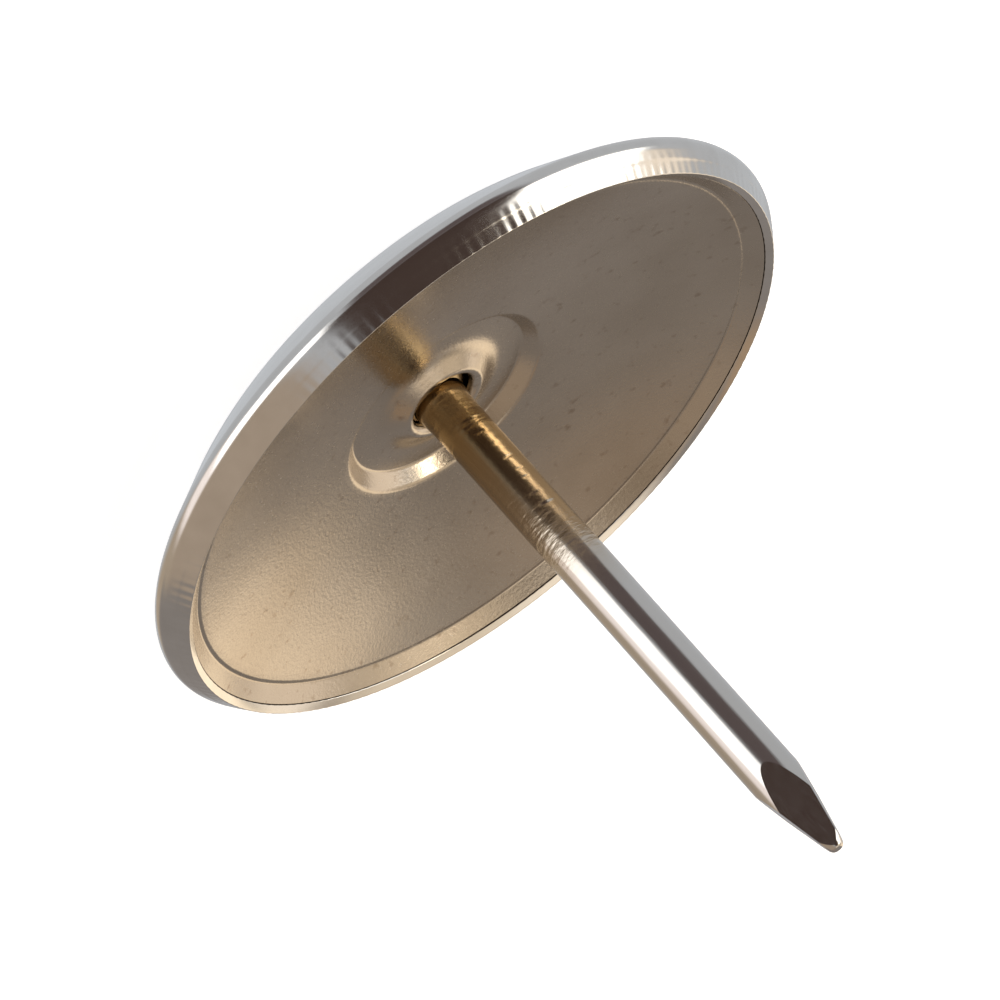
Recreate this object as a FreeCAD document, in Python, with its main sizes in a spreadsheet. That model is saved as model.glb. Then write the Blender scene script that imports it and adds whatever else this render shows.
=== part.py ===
import FreeCAD, Part
import math
import os
import Sketcher

# Nail-on furniture glide: a domed steel cap whose edge is crimped over a dished plate, and the wire nail
# whose head the two hold between them. Millimetres, +Z along the nail towards its point, origin at the
# middle of the sliding face.

SIZES = {
    # Domed cap
    "cap_radius": 12.70,
    "cap_sheet": 0.30,
    "face_radius": 90.5,
    "shoulder_blend": 2.65,
    "shoulder_slope": 36.0,
    "rim_height": 2.67,
    "rim_bend": 0.50,
    "lip_lean": 35.5,
    "lip_length": 0.86,
    # Dished plate: its boss and sunk ring are measured out from the nail, its flange in from the lip
    "plate_sheet": 0.45,
    "boss_height": 0.68,
    "boss_cover": 0.57,
    "floor_width": 1.28,
    "wall_reach": 0.38,
    "recess_depth": 0.52,
    "dish_radius": 33.7,
    "ridge_width": 0.32,
    "groove_dip": 0.06,
    "flange_reach": 0.523,
    "flange_rise": 0.594,
    "lip_cover": 0.03,
    "bend_inside": 0.12,
    "recess_round": 0.30,
    "crest_round": 0.22,
    # Nail
    "shank_radius": 0.90,
    "head_radius": 1.75,
    "neck_flare": 0.08,
    "neck_rise": 0.40,
    "nail_offset": 0.10,
    "nail_top": 22.25,
    "side_facet": 3.20,
    "front_facet": 3.55,
    "tip_half": 0.245,
    "tip_flat": 0.10,
    "tip_round": 0.17,
    "tip_cone": 1.20,
    "nick_first": 2.76,
    "nick_pitch": 0.87,
    "nick_count": 5,
    "nick_depth": 0.05,
    "nick_half": 0.09,
    "nick_turn": 140.0,
    # Clearances
    "hole_gap": 0.31,
    "seat_gap": 0.01,
    "lip_gap": 0.01,
    "head_gap": 0.10,
    # How far a cutting outline reaches past the surface it cuts
    "cut_margin": 0.20,
}

DISTANCE_TOLERANCE = 1e-4

doc = FreeCAD.newDocument("furniture_glide")
sizes = doc.addObject("Spreadsheet::Sheet", "sizes")
for row, (name, number) in enumerate(SIZES.items(), start=1):
    sizes.set(f"A{row}", name)
    sizes.set(f"B{row}", str(number))
    sizes.setAlias(f"B{row}", name)
doc.recompute()

# Formulas shared by the pieces
INNER_FACE = "(sizes.face_radius - sizes.cap_sheet)"
HOLE_X = "(sizes.shank_radius + sizes.hole_gap)"
BOSS_X = "(sizes.head_radius + sizes.boss_cover)"
FLOOR_X = f"({BOSS_X} + sizes.floor_width)"
WALL_X = f"({FLOOR_X} + sizes.wall_reach)"
SEAT_RISE = f"{INNER_FACE} - sqrt({INNER_FACE} ^ 2 - {FLOOR_X} ^ 2)"
HEAD_RISE = f"{INNER_FACE} - sqrt({INNER_FACE} ^ 2 - sizes.head_radius ^ 2)"
FLOOR = f"(sizes.cap_sheet + {SEAT_RISE} + sizes.seat_gap + sizes.plate_sheet)"
WALL_Z = f"{FLOOR} + sizes.recess_depth"
BOSS_Z = f"{FLOOR} + sizes.boss_height"
BOSS_SLOPE = f"(sizes.boss_height / ({BOSS_X} - {HOLE_X}))"
UNDER_LIP = "(sizes.rim_bend - sizes.cap_sheet - sizes.lip_gap)"
COVERED_LIP = "(sizes.lip_length - sizes.lip_cover)"
FLANGE_X = (
    f"sizes.cap_radius - sizes.rim_bend + {UNDER_LIP} * cos(sizes.lip_lean)"
    f" - {COVERED_LIP} * sin(sizes.lip_lean)"
)
FLANGE_Z = (
    f"sizes.rim_height + {UNDER_LIP} * sin(sizes.lip_lean)"
    f" + {COVERED_LIP} * cos(sizes.lip_lean)"
)
GROOVE_X = f"{FLANGE_X} - sizes.flange_reach"
GROOVE_Z = f"{FLANGE_Z} - sizes.flange_rise"
RIDGE_X = f"{GROOVE_X} - sizes.ridge_width"
RIDGE_Z = f"{GROOVE_Z} + sizes.groove_dip"


def value(formula):
    """Number that a formula on the sheet's sizes gives."""
    return float(sizes.evalExpression(formula))


def under_boss(radius):
    """Formula for the head's height at a radius, one gap below the underside of the boss."""
    drop = f"(sizes.plate_sheet + sizes.head_gap) * sqrt(1 + {BOSS_SLOPE} ^ 2)"
    return f"{BOSS_Z} - {BOSS_SLOPE} * ({radius} - {HOLE_X}) - {drop}"


def direction(degrees):
    """Unit vector in a sketch at an angle from its first axis."""
    angle = math.radians(degrees)
    return FreeCAD.Vector(math.cos(angle), math.sin(angle), 0)


def new_body(label):
    """Empty body that carries one piece under its own name."""
    body = doc.addObject("PartDesign::Body", label)
    body.Label = label
    return body


def origin_part(body, role):
    """Plane or axis of a body's own origin."""
    return next(item for item in body.Origin.OriginFeatures if item.Role == role)


class Outline:
    """Sketch on an origin plane of a body, drawn piece by piece and tied to the sheet."""

    def __init__(self, body, name, plane="XZ_Plane"):
        self.body = body
        self.sketch = body.newObject("Sketcher::SketchObject", name)
        self.sketch.AttachmentSupport = [(origin_part(body, plane), "")]
        self.sketch.MapMode = "FlatFace"

    def line(self, start, end):
        """Straight piece between two places."""
        return self.sketch.addGeometry(Part.LineSegment(start, end), False)

    def arc(self, centre, radius, start, end):
        """Arc about a centre, anticlockwise between two angles in degrees."""
        circle = Part.Circle(centre, FreeCAD.Vector(0, 0, 1), radius)
        arc = Part.ArcOfCircle(circle, math.radians(start), math.radians(end))
        return self.sketch.addGeometry(arc, False)

    def tie(self, *constraint):
        """Constraint without a size."""
        return self.sketch.addConstraint(Sketcher.Constraint(*constraint))

    def size(self, kind, *places, formula):
        """Constraint whose size follows a formula on the sheet."""
        number = value(formula)
        if kind == "Angle":
            number = math.radians(number)
        index = self.tie(kind, *places, number)
        self.sketch.setExpression(f"Constraints[{index}]", formula)

    def place(self, piece, point, across, up):
        """Fix a point of a piece by its two distances from the sketch's origin."""
        self.size("DistanceX", -1, 1, piece, point, formula=across)
        self.size("DistanceY", -1, 1, piece, point, formula=up)

    def polygon(self, corners):
        """Closed outline of straight pieces through corners given as pairs of formulas."""
        places = [FreeCAD.Vector(value(across), value(up), 0) for across, up in corners]
        for index, place in enumerate(places):
            self.line(place, places[(index + 1) % len(places)])
        for index, (across, up) in enumerate(corners):
            self.tie("Coincident", index - 1 if index else len(places) - 1, 2, index, 1)
            self.place(index, 1, across, up)


def full_turn(body, kind, outline, name):
    """Feature that turns an outline once round the body's Z axis."""
    feature = body.newObject(kind, name)
    feature.Profile = outline.sketch
    feature.ReferenceAxis = (outline.sketch, ["V_Axis"])
    feature.Angle = 360
    doc.recompute()
    return feature


def round_corners(body, base, name, places, radius):
    """Round the circular edges that run through places of the outline."""
    edges = []
    for index, edge in enumerate(base.Shape.Edges, start=1):
        if not isinstance(edge.Curve, Part.Circle):
            continue
        seen = FreeCAD.Vector(edge.Curve.Radius, edge.Curve.Center.z, 0)
        if any(seen.distanceToPoint(place) < DISTANCE_TOLERANCE for place in places):
            edges.append(f"Edge{index}")
    if len(edges) != len(places):
        raise RuntimeError(f"{name}: {len(edges)} edges for {len(places)} corners")
    fillet = body.newObject("PartDesign::Fillet", name)
    fillet.Base = (base, edges)
    fillet.setExpression("Radius", radius)
    doc.recompute()
    return fillet


def require_cut(before, after, name):
    """Stop when a cut has taken no material away."""
    if not after.Shape.Volume < before.Shape.Volume:
        raise RuntimeError(f"{name} removes nothing")


# Domed cap: one sheet section from the middle of the face, round the shoulder and the rim, to the lip
glide_cap = new_body("glide_cap")
cap_outline = Outline(glide_cap, "cap_section")

cap_sheet = SIZES["cap_sheet"]
slope = SIZES["shoulder_slope"]
lean = SIZES["lip_lean"]
shoulder_out = direction(slope - 90)
shoulder_along = direction(slope)
lip_out = direction(lean)
lip_up = direction(lean + 90)
face_centre = FreeCAD.Vector(0, SIZES["face_radius"], 0)
rim_centre = FreeCAD.Vector(SIZES["cap_radius"] - SIZES["rim_bend"], SIZES["rim_height"], 0)
shoulder_top = rim_centre + shoulder_out * SIZES["rim_bend"]
above_shoulder = shoulder_top - shoulder_out * SIZES["shoulder_blend"]
reach = (above_shoulder - face_centre).dot(shoulder_along * -1)
spare = (above_shoulder - face_centre).Length ** 2
spare -= (SIZES["face_radius"] - SIZES["shoulder_blend"]) ** 2
shoulder_length = math.sqrt(reach ** 2 - spare) - reach
blend_centre = above_shoulder - shoulder_along * shoulder_length
towards_blend = blend_centre - face_centre
face_end = math.degrees(math.atan2(towards_blend.y, towards_blend.x))
lip_top = rim_centre + lip_out * SIZES["rim_bend"] + lip_up * SIZES["lip_length"]


def cap_skin(inset):
    """Face arc, blend arc, shoulder line and rim arc at a depth below the outer skin."""
    blend = SIZES["shoulder_blend"] - inset
    rim = SIZES["rim_bend"] - inset
    return (
        cap_outline.arc(face_centre, SIZES["face_radius"] - inset, -90, face_end),
        cap_outline.arc(blend_centre, blend, face_end, slope - 90),
        cap_outline.line(blend_centre + shoulder_out * blend, rim_centre + shoulder_out * rim),
        cap_outline.arc(rim_centre, rim, slope - 90, lean),
        cap_outline.line(rim_centre + lip_out * rim, lip_top - lip_out * inset),
    )


outer = cap_skin(0)
inner = cap_skin(cap_sheet)
lip_edge = cap_outline.line(lip_top, lip_top - lip_out * cap_sheet)
cap_axis = cap_outline.line(FreeCAD.Vector(0, cap_sheet, 0), FreeCAD.Vector(0, 0, 0))
for skin in (outer, inner):
    for piece, following in zip(skin, skin[1:]):
        cap_outline.tie("Tangent", piece, 2, following, 1)
cap_outline.tie("Coincident", outer[0], 1, -1, 1)
cap_outline.tie("PointOnObject", outer[0], 3, -2)
cap_outline.size("Radius", outer[0], formula="sizes.face_radius")
cap_outline.size("Radius", outer[1], formula="sizes.shoulder_blend")
cap_outline.size("Angle", outer[2], formula="sizes.shoulder_slope")
cap_outline.size("Radius", outer[3], formula="sizes.rim_bend")
cap_outline.place(outer[3], 3, "sizes.cap_radius - sizes.rim_bend", "sizes.rim_height")
cap_outline.size("Angle", outer[4], formula="sizes.lip_lean + 90")
cap_outline.size("Distance", outer[4], formula="sizes.lip_length")
cap_outline.tie("Perpendicular", outer[4], 2, lip_edge, 1)
cap_outline.tie("Coincident", lip_edge, 2, inner[4], 2)
cap_outline.tie("Parallel", inner[4], outer[4])
cap_outline.tie("Parallel", inner[2], outer[2])
for arc in (0, 1, 3):
    cap_outline.tie("Coincident", inner[arc], 3, outer[arc], 3)
cap_outline.tie("PointOnObject", inner[0], 1, -2)
cap_outline.size("Radius", inner[0], formula="sizes.face_radius - sizes.cap_sheet")
cap_outline.tie("Coincident", cap_axis, 1, inner[0], 1)
cap_outline.tie("Coincident", cap_axis, 2, outer[0], 1)
doc.recompute()
cap_turned = full_turn(glide_cap, "PartDesign::Revolution", cap_outline, "cap_shell")

# Dished plate: the top of its section is placed by size, the underside follows one sheet thickness below
retaining_plate = new_body("retaining_plate")
plate_outline = Outline(retaining_plate, "plate_section")

TOP_CORNERS = (
    (HOLE_X, BOSS_Z),
    (BOSS_X, FLOOR),
    (FLOOR_X, FLOOR),
    (WALL_X, WALL_Z),
    (RIDGE_X, RIDGE_Z),
    (GROOVE_X, GROOVE_Z),
    (FLANGE_X, FLANGE_Z),
)
DISH = TOP_CORNERS.index((WALL_X, WALL_Z))
top = [FreeCAD.Vector(value(across), value(up), 0) for across, up in TOP_CORNERS]
chord = top[DISH + 1] - top[DISH]
rise = math.sqrt(SIZES["dish_radius"] ** 2 - (chord.Length / 2) ** 2)
left_of_chord = FreeCAD.Vector(-chord.y, chord.x, 0).normalize()
dish_centre = top[DISH] + chord * 0.5 + left_of_chord * rise


def angle_at(centre, place):
    """Direction from a centre to a place, in degrees."""
    away = place - centre
    return math.degrees(math.atan2(away.y, away.x))


def sunk(start, end):
    """A place and a direction on the straight piece from start to end, one sheet thickness lower."""
    along = (end - start).normalize()
    return start + FreeCAD.Vector(along.y, -along.x, 0) * SIZES["plate_sheet"], along


def meeting(first, second):
    """Place where two lines meet, each given as a place and a direction."""
    share = (second[0] - first[0]).cross(second[1]).z / first[1].cross(second[1]).z
    return first[0] + first[1] * share


def nearest_on_circle(line, centre, radius, near):
    """Place where a line crosses a circle, of the two the one nearer to a given place."""
    middle = line[0] + line[1] * (centre - line[0]).dot(line[1])
    half = line[1] * math.sqrt(radius ** 2 - (middle - centre).Length ** 2)
    return min(middle + half, middle - half, key=near.distanceToPoint)


lower = [sunk(start, end) for start, end in zip(top, top[1:])]
under_radius = SIZES["dish_radius"] + SIZES["plate_sheet"]
bottom = [
    meeting(lower[0], (top[0], direction(90))),
    meeting(lower[0], lower[1]),
    meeting(lower[1], lower[2]),
    nearest_on_circle(lower[2], dish_centre, under_radius, top[DISH]),
    nearest_on_circle(lower[4], dish_centre, under_radius, top[DISH + 1]),
    meeting(lower[4], lower[5]),
    meeting(lower[5], (top[-1], direction(lean - 90))),
]

top_pieces = []
bottom_pieces = []
skins = ((top_pieces, top, SIZES["dish_radius"]), (bottom_pieces, bottom, under_radius))
for pieces, corners, radius in skins:
    for index, (start, end) in enumerate(zip(corners, corners[1:])):
        if index == DISH:
            pieces.append(plate_outline.arc(
                dish_centre, radius, angle_at(dish_centre, start), angle_at(dish_centre, end)))
        else:
            pieces.append(plate_outline.line(start, end))
hole_wall = plate_outline.line(bottom[0], top[0])
flange_end = plate_outline.line(top[-1], bottom[-1])
for pieces in (top_pieces, bottom_pieces):
    for piece, following in zip(pieces, pieces[1:]):
        plate_outline.tie("Coincident", piece, 2, following, 1)
for piece, (across, up) in zip(top_pieces, TOP_CORNERS):
    plate_outline.place(piece, 1, across, up)
plate_outline.place(top_pieces[-1], 2, *TOP_CORNERS[-1])
plate_outline.size("Radius", top_pieces[DISH], formula="sizes.dish_radius")
plate_outline.tie("Coincident", bottom_pieces[DISH], 3, top_pieces[DISH], 3)
plate_outline.size("Radius", bottom_pieces[DISH], formula="sizes.dish_radius + sizes.plate_sheet")
for index, (over, under) in enumerate(zip(top_pieces, bottom_pieces)):
    if index != DISH:
        plate_outline.tie("Parallel", over, under)
        plate_outline.size("Distance", over, 1, under, formula="sizes.plate_sheet")
plate_outline.tie("Coincident", hole_wall, 1, bottom_pieces[0], 1)
plate_outline.tie("Coincident", hole_wall, 2, top_pieces[0], 1)
plate_outline.tie("Vertical", hole_wall)
plate_outline.tie("Coincident", flange_end, 1, top_pieces[-1], 2)
plate_outline.tie("Coincident", flange_end, 2, bottom_pieces[-1], 2)
plate_outline.size("Angle", flange_end, formula="sizes.lip_lean - 90")
doc.recompute()
plate_turned = full_turn(retaining_plate, "PartDesign::Revolution", plate_outline, "plate_shell")


def section_point(piece, point):
    """Solved place of a point of the plate's section."""
    return plate_outline.sketch.getPoint(piece, point)


inside_bends = [section_point(top_pieces[index], 1) for index in (1, 2, 4, 5)]
inside_bends += [section_point(bottom_pieces[index], 1) for index in (3, 4)]
outside_bends = [section_point(bottom_pieces[index], 1) for index in (1, 2, 5)]
plate_rounded = round_corners(
    retaining_plate, plate_turned, "inside_bends", inside_bends, "sizes.bend_inside")
plate_rounded = round_corners(
    retaining_plate, plate_rounded, "outside_bends", outside_bends,
    "sizes.bend_inside + sizes.plate_sheet")
plate_rounded = round_corners(
    retaining_plate, plate_rounded, "recess_edge", [section_point(top_pieces[DISH], 1)],
    "sizes.recess_round")
plate_rounded = round_corners(
    retaining_plate, plate_rounded, "boss_crest", [section_point(top_pieces[0], 1)],
    "sizes.crest_round")

# Nail: turned head, shank and blunt end, then the nicks that the gripping dies leave on its two sides,
# and the four facets of the point
nail = new_body("nail")
nail.setExpression("Placement.Base.x", "sizes.nail_offset")
nail_outline = Outline(nail, "nail_section")

HEAD_FLOOR = f"sizes.cap_sheet + {HEAD_RISE} + sizes.seat_gap"
NECK_X = "(sizes.shank_radius + sizes.neck_flare)"
POINT_START = "sizes.nail_top - sizes.tip_cone"
TIP_ROUND_HEIGHT = "sizes.nail_top - sizes.tip_round"
NAIL_CORNERS = (
    ("0", HEAD_FLOOR),
    ("sizes.head_radius", HEAD_FLOOR),
    ("sizes.head_radius", under_boss("sizes.head_radius")),
    (NECK_X, under_boss(NECK_X)),
    ("sizes.shank_radius", f"{BOSS_Z} + sizes.neck_rise"),
    ("sizes.shank_radius", POINT_START),
)
nail_places = [FreeCAD.Vector(value(across), value(up), 0) for across, up in NAIL_CORNERS]
tip_centre = FreeCAD.Vector(SIZES["tip_flat"], value(TIP_ROUND_HEIGHT), 0)
to_cone = nail_places[-1] - tip_centre
tip_angle = angle_at(tip_centre, nail_places[-1])
tip_angle += math.degrees(math.acos(SIZES["tip_round"] / to_cone.Length))
tip_touch = tip_centre + direction(tip_angle) * SIZES["tip_round"]
tip_start = FreeCAD.Vector(SIZES["tip_flat"], SIZES["nail_top"], 0)
tip_middle = FreeCAD.Vector(0, SIZES["nail_top"], 0)
nail_pieces = [nail_outline.line(start, end) for start, end in zip(nail_places, nail_places[1:])]
tip_cone = nail_outline.line(nail_places[-1], tip_touch)
tip_arc = nail_outline.arc(tip_centre, SIZES["tip_round"], tip_angle, 90)
tip_flat = nail_outline.line(tip_start, tip_middle)
nail_axis = nail_outline.line(tip_middle, nail_places[0])
for piece, following in zip(nail_pieces, nail_pieces[1:] + [tip_cone]):
    nail_outline.tie("Coincident", piece, 2, following, 1)
for piece, (across, up) in zip(nail_pieces[1:] + [tip_cone], NAIL_CORNERS[1:]):
    nail_outline.place(piece, 1, across, up)
nail_outline.tie("PointOnObject", nail_pieces[0], 1, -2)
nail_outline.tie("Horizontal", nail_pieces[0])
nail_outline.tie("Tangent", tip_cone, 2, tip_arc, 1)
nail_outline.tie("Tangent", tip_arc, 2, tip_flat, 1)
nail_outline.place(tip_arc, 3, "sizes.tip_flat", TIP_ROUND_HEIGHT)
nail_outline.size("Radius", tip_arc, formula="sizes.tip_round")
nail_outline.tie("Horizontal", tip_flat)
nail_outline.tie("PointOnObject", tip_flat, 2, -2)
nail_outline.tie("Coincident", nail_axis, 1, tip_flat, 2)
nail_outline.tie("Coincident", nail_axis, 2, nail_pieces[0], 1)
doc.recompute()
nail_turned = full_turn(nail, "PartDesign::Revolution", nail_outline, "nail_blank")

nick_outline = Outline(nail, "nick_section")
NICK_OPEN = "sizes.nick_half * (1 + sizes.cut_margin / sizes.nick_depth)"
nick_outline.polygon((
    ("sizes.shank_radius - sizes.nick_depth", "sizes.nick_first"),
    ("sizes.shank_radius + sizes.cut_margin", f"sizes.nick_first - {NICK_OPEN}"),
    ("sizes.shank_radius + sizes.cut_margin", f"sizes.nick_first + {NICK_OPEN}"),
))
doc.recompute()
nick = nail.newObject("PartDesign::Groove", "grip_nick")
nick.Profile = nick_outline.sketch
nick.ReferenceAxis = (nick_outline.sketch, ["V_Axis"])
nick.Midplane = True
nick.setExpression("Angle", "sizes.nick_turn")
doc.recompute()
require_cut(nail_turned, nick, "grip nick")
nick_row = nail.newObject("PartDesign::LinearPattern", "nick_row")
nick_row.Direction = (origin_part(nail, "Z_Axis"), [""])
nick_row.setExpression("Length", "sizes.nick_pitch * (sizes.nick_count - 1)")
nick_row.setExpression("Occurrences", "sizes.nick_count")
nick_sides = nail.newObject("PartDesign::PolarPattern", "nick_sides")
nick_sides.Axis = (origin_part(nail, "Z_Axis"), [""])
nick_sides.Angle = 360
nick_sides.Occurrences = 2
grip = nail.newObject("PartDesign::MultiTransform", "grip_nicks")
grip.Originals = [nick]
grip.Transformations = [nick_row, nick_sides]
nail.Tip = grip
doc.recompute()
require_cut(nick, grip, "rows of grip nicks")


def facet_pair(before, name, plane, length):
    """Two opposite facets of the point, cut across the nail from one wedge outline."""
    steepness = f"({length} / (sizes.shank_radius - sizes.tip_half))"
    wedge = Outline(nail, f"{name}_section", plane)
    wedge.polygon((
        ("sizes.shank_radius + sizes.cut_margin",
         f"sizes.nail_top - {length} - sizes.cut_margin * {steepness}"),
        ("sizes.shank_radius + sizes.cut_margin", "sizes.nail_top + sizes.cut_margin"),
        (f"sizes.tip_half - sizes.cut_margin / {steepness}", "sizes.nail_top + sizes.cut_margin"),
    ))
    doc.recompute()
    pocket = nail.newObject("PartDesign::Pocket", name)
    pocket.Profile = wedge.sketch
    pocket.SideType = "Symmetric"
    pocket.setExpression("Length", "2 * (sizes.shank_radius + sizes.cut_margin)")
    doc.recompute()
    require_cut(before, pocket, name)
    pair = nail.newObject("PartDesign::PolarPattern", f"{name}_pair")
    pair.Originals = [pocket]
    pair.Axis = (origin_part(nail, "Z_Axis"), [""])
    pair.Angle = 360
    pair.Occurrences = 2
    nail.Tip = pair
    doc.recompute()
    require_cut(pocket, pair, f"{name} pair")
    return pair


side_facets = facet_pair(grip, "side_facet", "XZ_Plane", "sizes.side_facet")
front_facets = facet_pair(side_facets, "front_facet", "YZ_Plane", "sizes.front_facet")

doc.recompute()
for item in doc.Objects:
    if "Invalid" in item.State or "Error" in item.State:
        raise RuntimeError(f"{item.Label} is not computed: {item.State}")
os.makedirs("parts", exist_ok=True)
for body in (glide_cap, retaining_plate, nail):
    if not body.Shape.isValid() or len(body.Shape.Solids) != 1:
        raise RuntimeError(f"{body.Label} is not one valid solid")
    body.Shape.exportStep(os.path.join("parts", f"{body.Label}.step"))
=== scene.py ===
import math
import random

import bpy
from mathutils import Matrix, Vector


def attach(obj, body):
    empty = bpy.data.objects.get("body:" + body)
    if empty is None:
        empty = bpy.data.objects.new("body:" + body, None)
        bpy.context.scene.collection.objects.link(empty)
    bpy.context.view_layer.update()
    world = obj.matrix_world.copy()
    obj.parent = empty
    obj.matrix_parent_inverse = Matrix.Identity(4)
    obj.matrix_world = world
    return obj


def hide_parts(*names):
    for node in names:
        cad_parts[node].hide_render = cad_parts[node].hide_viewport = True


# Nail-on furniture glide: a nickel-plated domed cap, the satin dished plate that its crimped lip holds,
# and the wire nail that stands up through the plate. Lengths are written in millimetres.

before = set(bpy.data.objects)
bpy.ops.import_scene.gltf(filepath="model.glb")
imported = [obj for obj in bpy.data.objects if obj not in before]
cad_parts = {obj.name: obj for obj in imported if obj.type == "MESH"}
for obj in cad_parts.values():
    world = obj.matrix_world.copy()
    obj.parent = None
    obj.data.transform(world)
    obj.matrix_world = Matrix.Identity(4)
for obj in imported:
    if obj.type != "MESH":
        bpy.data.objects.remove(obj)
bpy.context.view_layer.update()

MM = 0.001
# Each piece is spun as one sector and copied round. Steps are for the whole turn: the cap's show its ripples
SECTORS = 16
CAP_STEPS = 1056
PLATE_STEPS = 384
NAIL_STEPS = 128
ARC_STEP = math.radians(9)
SMOOTH_ANGLE = math.radians(28)
MERGE = 0.002
CUT_TOLERANCE = 0.001
AXIS_RADIUS = 0.001

# Cap
CAP_RADIUS = 12.70
CAP_SHEET = 0.30
FACE_RADIUS = 90.5
SHOULDER_BLEND = 2.65
SHOULDER_SLOPE = math.radians(36)
RIM_HEIGHT = 2.67
RIM_BEND = 0.50
# The lip's outside, from the rim bend to its edge, as (length, lean): the crimping leaves a narrow fold
LIP_BANDS = ((0.34, 33.0), (0.08, 39.0), (0.44, 34.5))
LIP_BREAK = 0.025
# The crimping's waves: how many go round, how far they lift and how far the edge sinks, the share of them
# that the fold gets, and the heights between which they grow
RIPPLES = (150, 260)
RIPPLE_LIFT = 0.0042
LUMPS = (5, 23)
LUMP_LIFT = 0.003
EDGE_DROP = 0.006
FOLD_SHARE = 0.35
FOLD_STARTS = 2.95
EDGE_STARTS = 3.15
EDGE_ENDS = 3.60

# Plate
PLATE_SHEET = 0.45
SEAT_GAP = 0.01
HOLE_RADIUS = 1.21
BOSS_FOOT = 2.32
BOSS_HEIGHT = 0.68
FLOOR_RADIUS = 3.60
WALL_FOOT = 3.53
RECESS_RADIUS = 3.98
RECESS_DEPTH = 0.52
DISH_RADIUS = 33.7
DISH_STEPS = 24
RIDGE_RADIUS = 11.22
RIDGE_RISE = 1.647
GROOVE_RADIUS = 11.35
GROOVE_DIP = 0.012
FLANGE_RADIUS = 11.873
FLANGE_HEIGHT = 3.456
# Underside: radii of its corners at the boss and the seat, and its two corners at the flange
UNDER_BOSS = 2.193
UNDER_FLOOR = 3.829
UNDER_FLANGE = ((11.519, 2.372), (12.141, 3.080))
# Bends of the top: at the hole, the boss's foot, the wall's foot and top, the ridge, the groove and the edge
TOP_ROUNDS = (0.26, 1.40, 0.20, 0.30, 0.18, 0.14, 0.02)
UNDER_ROUND = 0.5
EDGE_ROUND = 0.02

# Nail
SHANK_RADIUS = 0.90
HEAD_RADIUS = 1.75
HEAD_LOW = 0.327
HEAD_RIM = 0.533
HEAD_ROUNDS = (0, 0.04, 0.05, 0, 0)
NECK_RADIUS = 0.98
NECK_LOW = 1.008
NECK_TOP = 1.912
NAIL_OFFSET = 0.10
NAIL_TOP = 22.25
# Point: the facets' lengths, half its width at the top, and the blank's flat, round and cone before the cuts
SIDE_FACET = 3.20
FRONT_FACET = 3.55
TIP_HALF = 0.245
TIP_FLAT = 0.10
TIP_ROUND = 0.17
TIP_CONE = 1.20
NICK_FIRST = 2.76
NICK_PITCH = 0.87
NICK_COUNT = 5
NICK_DEPTH = 0.05
NICK_HALF = 0.09
# Stretch of the shank whose points lie close enough to take the nicks
NICKED = (NICK_FIRST - 0.4, NICK_FIRST + NICK_PITCH * NICK_COUNT + 0.3)
# Side of the shank that the dies bit, and how far round a nick reaches, in degrees
NICK_SIDE = (-128, -100)
NICK_REACH = (14, 30)
# Shares of the depth, the width and the pitch, between which each nick differs
NICK_BITE = (0.15, 0.5)
NICK_WIDTH = (0.7, 1.5)
NICK_SPREAD = (0.35, 0.9)


def linear(code, alpha=1.0):
    """Linear colour of an sRGB hex code."""
    channels = [int(code[at:at + 2], 16) / 255 for at in (1, 3, 5)]
    mended = [c / 12.92 if c <= 0.04045 else ((c + 0.055) / 1.055) ** 2.4 for c in channels]
    return (*mended, alpha)


def add_node(tree, kind, settings=None, links=None):
    """Node of a kind with its settings, input values and incoming links."""
    node = tree.nodes.new(kind)
    for name, value in (settings or {}).items():
        if hasattr(node, name):
            setattr(node, name, value)
        else:
            node.inputs[name].default_value = value
    for name, source in (links or {}).items():
        tree.links.new(source, node.inputs[name])
    return node


def metal(name, roughness):
    """Metal at its middle roughness, which its finish then varies: tree, shader and place on the piece."""
    material = bpy.data.materials.new(name)
    material.use_nodes = True
    tree = material.node_tree
    shader = tree.nodes["Principled BSDF"]
    shader.inputs["Metallic"].default_value = 1.0
    shader.inputs["Roughness"].default_value = roughness
    place = tree.nodes.new("ShaderNodeTexCoord").outputs["Object"]
    return material, tree, shader, place


def bright_nickel():
    """Bright nickel over drawn sheet steel: a slightly warm mirror, faintly rippled by the press."""
    # The grain of the plating is finer than a pixel, so it is drawn at 0.07 mm
    material, tree, shader, place = metal("bright_nickel_plate", 0.15)
    ripple = add_node(tree, "ShaderNodeTexNoise", {"Scale": 1 / (0.9 * MM), "Detail": 2.0}, {"Vector": place})
    grain = add_node(tree, "ShaderNodeTexNoise", {"Scale": 1 / (0.07 * MM), "Detail": 3.0}, {"Vector": place})
    tint = add_node(
        tree, "ShaderNodeMix",
        {"data_type": "RGBA", "A": linear("#D8D5D1"), "B": linear("#C9C5C0")},
        {"Factor": ripple.outputs["Fac"]})
    tree.links.new(tint.outputs["Result"], shader.inputs["Base Color"])
    rough = add_node(
        tree, "ShaderNodeMapRange", {"To Min": 0.10, "To Max": 0.20}, {"Value": grain.outputs["Fac"]})
    tree.links.new(rough.outputs["Result"], shader.inputs["Roughness"])
    soft = add_node(
        tree, "ShaderNodeBump", {"Strength": 0.10, "Distance": 0.02 * MM}, {"Height": ripple.outputs["Fac"]})
    tree.links.new(soft.outputs["Normal"], shader.inputs["Normal"])
    return material


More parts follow.
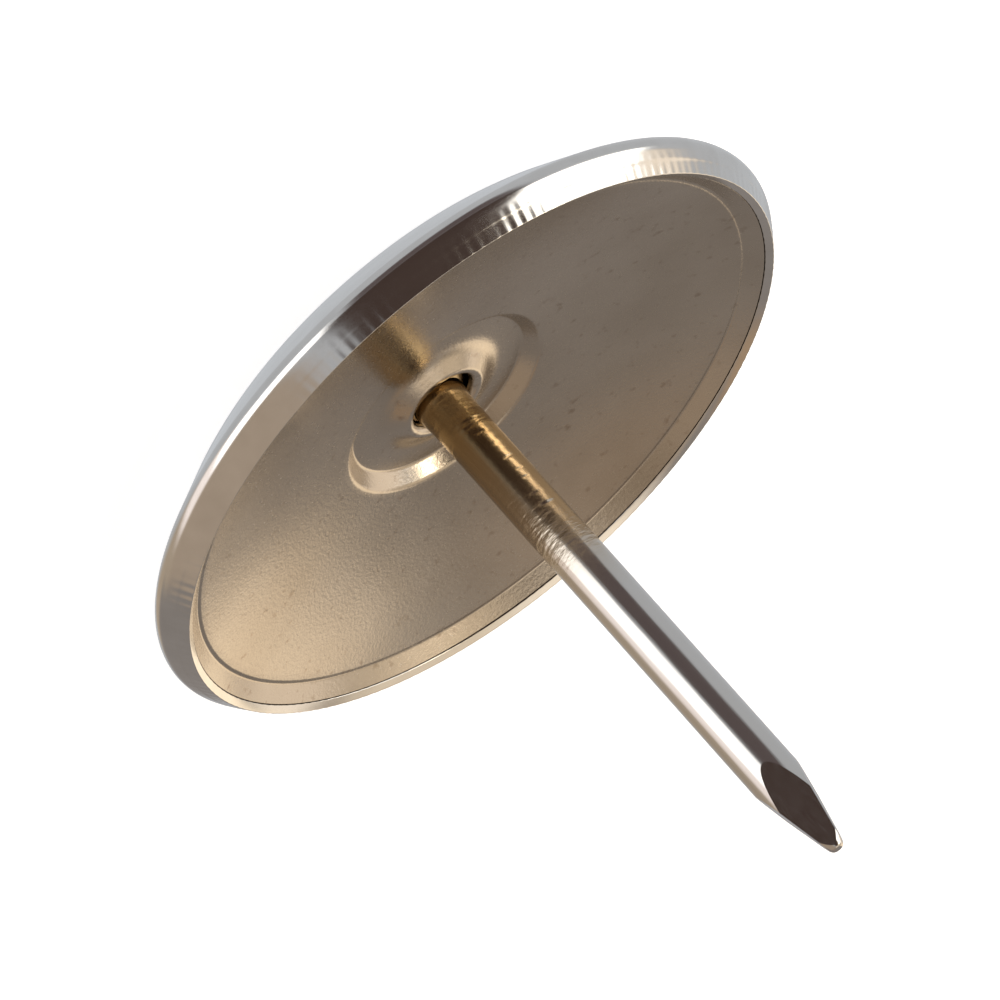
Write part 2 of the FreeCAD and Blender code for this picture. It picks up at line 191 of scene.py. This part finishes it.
def satin_plate():
    """Thin plating over rolled sheet steel: satin, faintly tarnished, with small brown specks."""
    # The rolled grain is some hundredths of a millimetre, so it is drawn at 0.12 mm to show
    material, tree, shader, place = metal("satin_plated_steel", 0.25)
    cloud = add_node(tree, "ShaderNodeTexNoise", {"Scale": 1 / (4.5 * MM), "Detail": 4.0}, {"Vector": place})
    grain = add_node(tree, "ShaderNodeTexNoise", {"Scale": 1 / (0.12 * MM), "Detail": 3.0}, {"Vector": place})
    speck = add_node(tree, "ShaderNodeTexNoise", {"Scale": 1 / (0.40 * MM), "Detail": 3.0}, {"Vector": place})
    tarnish = add_node(
        tree, "ShaderNodeMix",
        {"data_type": "RGBA", "A": linear("#CEC5B9"), "B": linear("#A79B8C")},
        {"Factor": cloud.outputs["Fac"]})
    spots = add_node(
        tree, "ShaderNodeMapRange", {"From Min": 0.62, "From Max": 0.80, "To Max": 0.45},
        {"Value": speck.outputs["Fac"]})
    spotted = add_node(
        tree, "ShaderNodeMix", {"data_type": "RGBA", "B": linear("#7A5F45")},
        {"Factor": spots.outputs["Result"], "A": tarnish.outputs["Result"]})
    tree.links.new(spotted.outputs["Result"], shader.inputs["Base Color"])
    rough = add_node(
        tree, "ShaderNodeMapRange", {"To Min": 0.19, "To Max": 0.31}, {"Value": grain.outputs["Fac"]})
    tree.links.new(rough.outputs["Result"], shader.inputs["Roughness"])
    tooth = add_node(
        tree, "ShaderNodeBump", {"Strength": 0.5, "Distance": 0.012 * MM}, {"Height": grain.outputs["Fac"]})
    tree.links.new(tooth.outputs["Normal"], shader.inputs["Normal"])
    return material


def drawn_wire():
    """Bright drawn wire: fine lines along the shank, marks of the gripping dies and a straw tint low down."""
    # The drawing lines are finer than a pixel, so they are drawn 0.08 mm apart
    material, tree, shader, place = metal("bright_drawn_wire", 0.18)
    along = add_node(
        tree, "ShaderNodeMapping", {"Scale": (1.0, 1.0, 0.04)}, {"Vector": place})
    lines = add_node(
        tree, "ShaderNodeTexNoise", {"Scale": 1 / (0.08 * MM), "Detail": 3.0},
        {"Vector": along.outputs["Vector"]})
    height = add_node(tree, "ShaderNodeSeparateXYZ", None, {"Vector": place})
    straw = add_node(
        tree, "ShaderNodeMapRange", {"From Min": 11 * MM, "From Max": 3 * MM}, {"Value": height.outputs["Z"]})
    tint = add_node(
        tree, "ShaderNodeMix",
        {"data_type": "RGBA", "A": linear("#C8C4BF"), "B": linear("#AE9873")},
        {"Factor": straw.outputs["Result"]})
    tree.links.new(tint.outputs["Result"], shader.inputs["Base Color"])
    rough = add_node(
        tree, "ShaderNodeMapRange", {"To Min": 0.12, "To Max": 0.24}, {"Value": lines.outputs["Fac"]})
    tree.links.new(rough.outputs["Result"], shader.inputs["Roughness"])
    scored = add_node(
        tree, "ShaderNodeBump", {"Strength": 0.25, "Distance": 0.01 * MM}, {"Height": lines.outputs["Fac"]})
    across = add_node(
        tree, "ShaderNodeMapping", {"Scale": (0.35, 0.35, 1.0)}, {"Vector": place})
    bites = add_node(
        tree, "ShaderNodeTexNoise", {"Scale": 1 / (0.20 * MM), "Detail": 2.0},
        {"Vector": across.outputs["Vector"]})
    gripped = add_node(
        tree, "ShaderNodeMapRange", {"From Min": 9.8 * MM, "From Max": 7.8 * MM, "To Max": 0.32},
        {"Value": height.outputs["Z"]})
    bitten = add_node(
        tree, "ShaderNodeBump", {"Distance": 0.05 * MM},
        {"Height": bites.outputs["Fac"], "Strength": gripped.outputs["Result"],
         "Normal": scored.outputs["Normal"]})
    tree.links.new(bitten.outputs["Normal"], shader.inputs["Normal"])
    return material


def arc(centre, radius, start, end):
    """Points of an arc in the section, both ends among them; angles in radians."""
    count = max(2, math.ceil(abs(end - start) / ARC_STEP))
    angles = [start + (end - start) * step / count for step in range(count + 1)]
    return [(centre[0] + radius * math.cos(a), centre[1] + radius * math.sin(a)) for a in angles]


def run(start, end, longest):
    """Points of a straight stretch, in steps no longer than a given length."""
    count = max(1, math.ceil(math.dist(start, end) / longest))
    return [tuple(a + (b - a) * step / count for a, b in zip(start, end)) for step in range(count + 1)]


def rounded(corners, radii, closed=True):
    """Section through corners, each rounded by its own radius."""
    points = []
    count = len(corners)
    for index, (corner, radius) in enumerate(zip(corners, radii)):
        if radius == 0 or (not closed and index in (0, count - 1)):
            points.append(corner)
            continue
        here = Vector(corner)
        before = (Vector(corners[index - 1]) - here).normalized()
        after = (Vector(corners[(index + 1) % count]) - here).normalized()
        half = math.acos(max(-1, min(1, before.dot(after)))) / 2
        centre = here + (before + after).normalized() * (radius / math.sin(half))
        start = (here + before * (radius / math.tan(half))) - centre
        end = (here + after * (radius / math.tan(half))) - centre
        first = math.atan2(start.y, start.x)
        sweep = math.remainder(math.atan2(end.y, end.x) - first, math.tau)
        points += arc(centre, radius, first, first + sweep)
    return points


def deselect():
    """Leave edit mode with nothing selected."""
    if bpy.context.object and bpy.context.object.mode == "EDIT":
        bpy.ops.object.mode_set(mode="OBJECT")
    bpy.ops.object.select_all(action="DESELECT")


def turned(name, section, steps):
    """Piece spun about the nail's axis from a section drawn point by point, one sector and its copies."""
    deselect()
    first = section[0]
    bpy.ops.mesh.primitive_plane_add(size=MM, location=(first[0] * MM, 0, first[1] * MM))
    piece = bpy.context.object
    piece.name = name
    bpy.ops.object.transform_apply(location=True)
    bpy.ops.object.mode_set(mode="EDIT")
    bpy.ops.mesh.select_all(action="SELECT")
    bpy.ops.mesh.merge(type="CENTER")
    for here, there in zip(section, section[1:]):
        step = ((there[0] - here[0]) * MM, 0, (there[1] - here[1]) * MM)
        bpy.ops.mesh.extrude_region_move(TRANSFORM_OT_translate={"value": step})
    bpy.ops.mesh.select_all(action="SELECT")
    sector = math.tau / SECTORS
    bpy.ops.mesh.spin(steps=steps // SECTORS, angle=sector, center=(0, 0, 0), axis=(0, 0, 1))
    # Each copy doubles what there is, until it goes all the way round
    while sector < math.tau - 0.001:
        bpy.ops.mesh.select_all(action="SELECT")
        bpy.ops.mesh.duplicate()
        bpy.ops.transform.rotate(value=sector, orient_axis="Z", center_override=(0, 0, 0))
        sector *= 2
    bpy.ops.mesh.select_all(action="SELECT")
    bpy.ops.mesh.remove_doubles(threshold=MERGE * MM)
    bpy.ops.mesh.normals_make_consistent(inside=False)
    bpy.ops.object.mode_set(mode="OBJECT")
    return piece


def cap_section():
    """Section of the cap: outer skin from the middle of the face to the lip, and back inside."""
    out = (math.sin(SHOULDER_SLOPE), -math.cos(SHOULDER_SLOPE))
    along = (math.cos(SHOULDER_SLOPE), math.sin(SHOULDER_SLOPE))
    rim = (CAP_RADIUS - RIM_BEND, RIM_HEIGHT)
    # Centre of the blend, which touches the shoulder's straight slope and the face from inside
    above = (rim[0] + out[0] * (RIM_BEND - SHOULDER_BLEND), rim[1] + out[1] * (RIM_BEND - SHOULDER_BLEND))
    reach = -(above[0] * along[0] + (above[1] - FACE_RADIUS) * along[1])
    spare = above[0] ** 2 + (above[1] - FACE_RADIUS) ** 2 - (FACE_RADIUS - SHOULDER_BLEND) ** 2
    length = math.sqrt(reach ** 2 - spare) - reach
    blend = (above[0] - along[0] * length, above[1] - along[1] * length)
    face_end = math.atan2(blend[1] - FACE_RADIUS, blend[0])
    upright = -math.pi / 2
    sides = []
    for inset, face_steps, lip_step in ((0, 10, 0.06), (CAP_SHEET, 4, 0.4)):
        face = FACE_RADIUS - inset
        angles = [upright + (face_end - upright) * step / face_steps for step in range(face_steps)]
        skin = [(face * math.cos(angle), FACE_RADIUS + face * math.sin(angle)) for angle in angles]
        skin += arc(blend, SHOULDER_BLEND - inset, face_end, SHOULDER_SLOPE - math.pi / 2)
        skin += arc(rim, RIM_BEND - inset, SHOULDER_SLOPE - math.pi / 2, math.radians(LIP_BANDS[0][1]))
        for width, lean in LIP_BANDS:
            lean = math.radians(lean)
            root = skin[-1]
            tip = (root[0] - math.sin(lean) * width, root[1] + math.cos(lean) * width)
            skin += run(root, tip, lip_step)[1:]
        sides.append(skin)
    outer, inner = sides
    corners = [outer[-2], outer[-1], inner[-1], inner[-2]]
    edge = rounded(corners, [0, LIP_BREAK, LIP_BREAK, 0], closed=False)
    return outer[:-1] + edge[1:-1] + inner[-2::-1]


def plate_section():
    """Closed section of the plate, its bends rounded, from the hole out along the top and back."""
    face = FACE_RADIUS - CAP_SHEET
    floor = CAP_SHEET + face - math.sqrt(face ** 2 - FLOOR_RADIUS ** 2) + SEAT_GAP + PLATE_SHEET
    ridge = floor + RECESS_DEPTH + RIDGE_RISE
    wall_top = (RECESS_RADIUS, floor + RECESS_DEPTH)
    ridge_top = (RIDGE_RADIUS, ridge)
    # Centre of the dish's arc, which runs from the top of the wall to the ridge
    chord = Vector(ridge_top) - Vector(wall_top)
    rise = math.sqrt(DISH_RADIUS ** 2 - (chord.length / 2) ** 2)
    centre = Vector(wall_top) + chord / 2 + Vector((-chord.y, chord.x)).normalized() * rise
    first = math.atan2(wall_top[1] - centre.y, wall_top[0] - centre.x)
    last = math.atan2(ridge_top[1] - centre.y, ridge_top[0] - centre.x)
    dish = [first + (last - first) * step / DISH_STEPS for step in range(DISH_STEPS + 1)]

    def on_dish(drop):
        return [(centre.x + (DISH_RADIUS + drop) * math.cos(a), centre.y + (DISH_RADIUS + drop) * math.sin(a))
                for a in dish]

    top = [(HOLE_RADIUS, floor + BOSS_HEIGHT), (BOSS_FOOT, floor), (WALL_FOOT, floor)]
    top += on_dish(0) + [(GROOVE_RADIUS, ridge - GROOVE_DIP), (FLANGE_RADIUS, FLANGE_HEIGHT)]
    along_dish = [0] * (DISH_STEPS - 1)
    top_radii = [*TOP_ROUNDS[:4], *along_dish, *TOP_ROUNDS[4:]]
    slope = BOSS_HEIGHT / (BOSS_FOOT - HOLE_RADIUS)
    hole_low = floor + BOSS_HEIGHT - PLATE_SHEET * math.hypot(1, slope)
    under = [(HOLE_RADIUS, hole_low), (UNDER_BOSS, floor - PLATE_SHEET), (UNDER_FLOOR, floor - PLATE_SHEET)]
    under += on_dish(PLATE_SHEET)[1:-1] + [*UNDER_FLANGE]
    under_radii = [EDGE_ROUND, UNDER_ROUND, UNDER_ROUND, *along_dish, UNDER_ROUND, EDGE_ROUND]
    return rounded(top + under[::-1], top_radii + under_radii[::-1])


def smoothstep(low, high, value):
    """Soft step from 0 at low to 1 at high."""
    share = min(1, max(0, (value - low) / (high - low)))
    return share * share * (3 - 2 * share)


def ruffle_lip(piece):
    """Crimping puckers the lip: shallow waves round it, strongest at the edge, none at the rim bend."""
    dice = random.Random(7)
    waves = [(dice.randint(*RIPPLES), dice.uniform(0, math.tau)) for _ in range(9)]
    slow = [(dice.randint(*LUMPS), dice.uniform(0, math.tau)) for _ in range(5)]
    lean = math.radians(LIP_BANDS[0][1])
    for vertex in piece.data.vertices:
        height = vertex.co.z / MM
        if height < FOLD_STARTS:
            continue
        turn = math.atan2(vertex.co.y, vertex.co.x)
        ripple = sum(math.sin(count * turn + phase) for count, phase in waves) / 3
        lumps = sum(math.sin(count * turn + phase) for count, phase in slow) / 3
        near_edge = smoothstep(EDGE_STARTS, EDGE_ENDS, height)
        near_fold = FOLD_SHARE * smoothstep(FOLD_STARTS, EDGE_STARTS, height) * (1 - near_edge)
        lift = RIPPLE_LIFT * ripple * (near_edge + near_fold) + LUMP_LIFT * lumps * near_edge
        vertex.co.x += math.cos(turn) * math.cos(lean) * lift * MM
        vertex.co.y += math.sin(turn) * math.cos(lean) * lift * MM
        vertex.co.z += math.sin(lean) * lift * MM - EDGE_DROP * MM * near_edge


def finish_piece(piece, material, node):
    """Shade a new piece, give it its material and let it stand for its solid."""
    deselect()
    piece.select_set(True)
    bpy.context.view_layer.objects.active = piece
    bpy.ops.object.shade_smooth_by_angle(angle=SMOOTH_ANGLE)
    piece.data.materials.append(material)
    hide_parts(node)
    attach(piece, "root")


def make_cap():
    """Domed cap with its lip ruffled by the crimping."""
    piece = turned("domed_cap", cap_section(), CAP_STEPS)
    ruffle_lip(piece)
    finish_piece(piece, bright_nickel(), "glide_cap")


def make_plate():
    """Dished plate with its sunk ring and the raised boss over the nail's head."""
    section = plate_section()
    piece = turned("dished_plate", section + section[:1], PLATE_STEPS)
    finish_piece(piece, satin_plate(), "retaining_plate")


def nail_section():
    """Half outline of the nail before its point is cut, from the middle of the head to the tip."""
    corners = [(AXIS_RADIUS, HEAD_LOW), (HEAD_RADIUS, HEAD_LOW), (HEAD_RADIUS, HEAD_RIM),
               (NECK_RADIUS, NECK_LOW), (SHANK_RADIUS, NECK_TOP)]
    points = rounded(corners, HEAD_ROUNDS, closed=False)
    points += run(points[-1], (SHANK_RADIUS, NICKED[0]), longest=0.4)[1:]
    points += run(points[-1], (SHANK_RADIUS, NICKED[1]), longest=0.03)[1:]
    points += run(points[-1], (SHANK_RADIUS, NAIL_TOP - TIP_CONE), longest=0.8)[1:]
    centre = (TIP_FLAT, NAIL_TOP - TIP_ROUND)
    away = math.atan2(NAIL_TOP - TIP_CONE - centre[1], SHANK_RADIUS - centre[0])
    away += math.acos(TIP_ROUND / math.dist(centre, (SHANK_RADIUS, NAIL_TOP - TIP_CONE)))
    return points + arc(centre, TIP_ROUND, away, math.pi / 2) + [(AXIS_RADIUS, NAIL_TOP)]


def nick_shank(piece):
    """The gripping dies bite unevenly: short nicks along one side of the shank."""
    dice = random.Random(11)
    nicks = []
    height = NICK_FIRST
    while height < NICK_FIRST + NICK_PITCH * NICK_COUNT:
        nicks.append((height, math.radians(dice.uniform(*NICK_SIDE)), math.radians(dice.uniform(*NICK_REACH)),
                      NICK_DEPTH * dice.uniform(*NICK_BITE), NICK_HALF * dice.uniform(*NICK_WIDTH)))
        height += NICK_PITCH * dice.uniform(*NICK_SPREAD)
    for vertex in piece.data.vertices:
        radius = vertex.co.xy.length / MM
        height = vertex.co.z / MM
        if not NICKED[0] < height < NICKED[1]:
            continue
        turn = math.atan2(vertex.co.y, vertex.co.x)
        depth = 0
        for place, middle, reach, bite, half in nicks:
            around = 1 - smoothstep(0, reach, abs(turn - middle))
            depth += bite * around * (1 - smoothstep(0, half, abs(height - place)))
        vertex.co.xy *= (radius - depth) / radius


def cut_point(piece):
    """Four facets meet in the blunt point: each is one slice through the blank."""
    deselect()
    piece.select_set(True)
    bpy.context.view_layer.objects.active = piece
    bpy.ops.object.mode_set(mode="EDIT")
    for quarter, length in enumerate((SIDE_FACET, FRONT_FACET, SIDE_FACET, FRONT_FACET)):
        turn = quarter * math.pi / 2
        across = Vector((math.cos(turn), math.sin(turn), 0))
        slant = (SHANK_RADIUS - TIP_HALF) / length
        bpy.ops.mesh.select_all(action="SELECT")
        bpy.ops.mesh.bisect(
            plane_co=(across * TIP_HALF + Vector((0, 0, NAIL_TOP))) * MM,
            plane_no=(across + Vector((0, 0, slant))).normalized(),
            use_fill=True, clear_outer=True, threshold=CUT_TOLERANCE * MM)
        bpy.ops.mesh.mark_sharp()
    bpy.ops.mesh.select_all(action="DESELECT")
    bpy.ops.object.mode_set(mode="OBJECT")


def make_nail():
    """Wire nail: headed, nicked by the gripping dies and pinched to a four-sided point."""
    piece = turned("wire_nail", nail_section(), NAIL_STEPS)
    nick_shank(piece)
    cut_point(piece)
    deselect()
    piece.select_set(True)
    bpy.context.view_layer.objects.active = piece
    bpy.ops.object.mode_set(mode="EDIT")
    bpy.ops.mesh.select_all(action="SELECT")
    bpy.ops.transform.translate(value=(NAIL_OFFSET * MM, 0, 0))
    bpy.ops.object.mode_set(mode="OBJECT")
    finish_piece(piece, drawn_wire(), "nail")


# Studio: the metal mirrors soft walls and cards all round, while the camera sees a plain white ground
WALLS = "#CED2D7"
CARDS = (
    # name, azimuth, elevation, half width, half height and soft edge in degrees, colour, strength
    ("tan wall", -14, 30, 50, 48, 8, "#BEAD9B", 1.0),
    ("low tan wall", 14, -18, 42, 24, 10, "#C4B4A0", 1.0),
    ("brown wall", 63, 30, 43, 48, 6, "#98928E", 1.0),
    ("brown wall's upper part", 82, 60, 19, 11, 6, "#B2A08E", 1.0),
    ("warm wall", 40, 52, 10, 9, 5, "#BDA285", 1.0),
    ("side wall", 142, 42, 32, 30, 6, "#A99D8E", 1.0),
    ("room in shade", -114, 30, 35, 46, 4, "#4E403B", 1.0),
    ("overhead light by the side", 172, 63, 40, 17, 7, "#E6D6BE", 1.3),
    ("overhead light", 0, 90, 180, 13, 6, "#F7E8D2", 1.5),
    ("shade over the tan wall", -42, 71, 34, 9, 5, "#A39483", 1.0),
    ("floor of the room", -118, -31, 31, 16, 4, "#6A5F5F", 1.0),
    ("fall-off of the low card", -20, -20, 19, 20, 8, "#F8EEEA", 1.5),
    ("low card", -52, -19, 25, 18, 2.5, "#FFFFFF", 2.4),
    ("side glow", 145, 26, 22, 14, 4, "#F4E6D4", 1.45),
    ("window's upper light", 199, 46, 7, 9, 3, "#FFF2DA", 10.0),
    ("window card", 190, 16.5, 22, 17.5, 2, "#FFFDF8", 3.0),
    ("side light", 115, 38, 11, 9, 4, "#F5E4CB", 1.7),
    ("side light's foot", 109.5, 13.5, 10.5, 17, 2.5, "#F3E1C6", 1.8),
)


def studio_world():
    """World of soft cards for everything but the camera, which sees white."""
    world = bpy.data.worlds.new("soft_studio")
    bpy.context.scene.world = world
    world.use_nodes = True
    tree = world.node_tree
    tree.nodes.clear()
    towards = tree.nodes.new("ShaderNodeTexCoord").outputs["Generated"]
    axes = add_node(tree, "ShaderNodeSeparateXYZ", None, {0: towards})
    azimuth = add_node(
        tree, "ShaderNodeMath", {"operation": "ARCTAN2"}, {0: axes.outputs["Y"], 1: axes.outputs["X"]})
    elevation = add_node(tree, "ShaderNodeMath", {"operation": "ARCSINE"}, {0: axes.outputs["Z"]})

    def within(angle, middle, half, edge):
        """1 inside a band of angles, softly 0 outside it."""
        offset = add_node(tree, "ShaderNodeMath", {"operation": "SUBTRACT"}, {0: angle.outputs[0]})
        offset.inputs[1].default_value = math.radians(middle)
        turned_to = add_node(tree, "ShaderNodeMath", {"operation": "WRAP"}, {0: offset.outputs[0]})
        turned_to.inputs[1].default_value = math.pi
        turned_to.inputs[2].default_value = -math.pi
        away = add_node(tree, "ShaderNodeMath", {"operation": "ABSOLUTE"}, {0: turned_to.outputs[0]})
        return add_node(
            tree, "ShaderNodeMapRange",
            {"interpolation_type": "SMOOTHSTEP",
             "From Min": math.radians(half + edge), "From Max": math.radians(half - edge)},
            {"Value": away.outputs[0]})

    light = add_node(tree, "ShaderNodeRGB").outputs["Color"]
    light.default_value = linear(WALLS)
    for _, across, above, half_width, half_height, edge, colour, strength in CARDS:
        wide = within(azimuth, across, half_width, edge)
        high = within(elevation, above, half_height, edge)
        shape = add_node(
            tree, "ShaderNodeMath", {"operation": "MULTIPLY"},
            {0: wide.outputs["Result"], 1: high.outputs["Result"]})
        tint = linear(colour)
        shown = add_node(
            tree, "ShaderNodeMix",
            {"data_type": "RGBA", "B": (tint[0] * strength, tint[1] * strength, tint[2] * strength, 1.0)},
            {"Factor": shape.outputs[0], "A": light})
        light = shown.outputs["Result"]
    studio = add_node(tree, "ShaderNodeBackground", None, {"Color": light})
    white = add_node(tree, "ShaderNodeBackground", {"Color": (1, 1, 1, 1)})
    path = tree.nodes.new("ShaderNodeLightPath")
    seen = add_node(
        tree, "ShaderNodeMixShader", None,
        {0: path.outputs["Is Camera Ray"], 1: studio.outputs[0], 2: white.outputs[0]})
    add_node(tree, "ShaderNodeOutputWorld", None, {"Surface": seen.outputs[0]})


def make_floor():
    """Pale ground just under the cap's face, white to the camera and left out of the metal's reflections."""
    below_face = 0.02
    camera_lift = 0.75
    deselect()
    bpy.ops.mesh.primitive_circle_add(
        vertices=96, radius=400 * MM, fill_type="NGON", location=(0, 0, -below_face * MM))
    floor = bpy.context.object
    floor.name = "pale_ground"
    bpy.ops.object.transform_apply(location=True)
    material = bpy.data.materials.new("pale_ground")
    material.use_nodes = True
    tree = material.node_tree
    shader = tree.nodes["Principled BSDF"]
    shader.inputs["Base Color"].default_value = linear("#EDEDED")
    shader.inputs["Roughness"].default_value = 0.9
    shader.inputs["Specular IOR Level"].default_value = 0.0
    path = tree.nodes.new("ShaderNodeLightPath")
    lift = add_node(tree, "ShaderNodeMath", {"operation": "MULTIPLY"}, {0: path.outputs["Is Camera Ray"]})
    lift.inputs[1].default_value = camera_lift
    shader.inputs["Emission Color"].default_value = (1, 1, 1, 1)
    tree.links.new(lift.outputs[0], shader.inputs["Emission Strength"])
    floor.data.materials.append(material)
    floor.visible_glossy = False


def make_camera():
    """Long lens, low over the plate on the far side of the nail, with the picture turned as it was taken."""
    look_down = math.radians(24.55)
    picture_turn = math.radians(138.38)
    distance = 182.4
    aside = 0.381
    below = 1.61
    turn = Matrix.Rotation(math.pi / 2 - look_down, 3, "X") @ Matrix.Rotation(picture_turn, 3, "Z")
    right, up, back = turn.col[0], turn.col[1], turn.col[2]
    lip_middle = Vector((0, 0, 3.68))
    place = lip_middle + right * aside - up * below + back * distance
    data = bpy.data.cameras.new("camera")
    data.lens = 198
    data.sensor_width = 36
    data.clip_start = 5 * MM
    camera = bpy.data.objects.new("camera", data)
    camera.matrix_world = Matrix.Translation(place * MM) @ turn.to_4x4()
    bpy.context.scene.collection.objects.link(camera)
    bpy.context.scene.camera = camera


make_camera()
studio_world()
make_floor()
make_cap()
make_plate()
make_nail()
bpy.context.scene.view_settings.view_transform = "Standard"
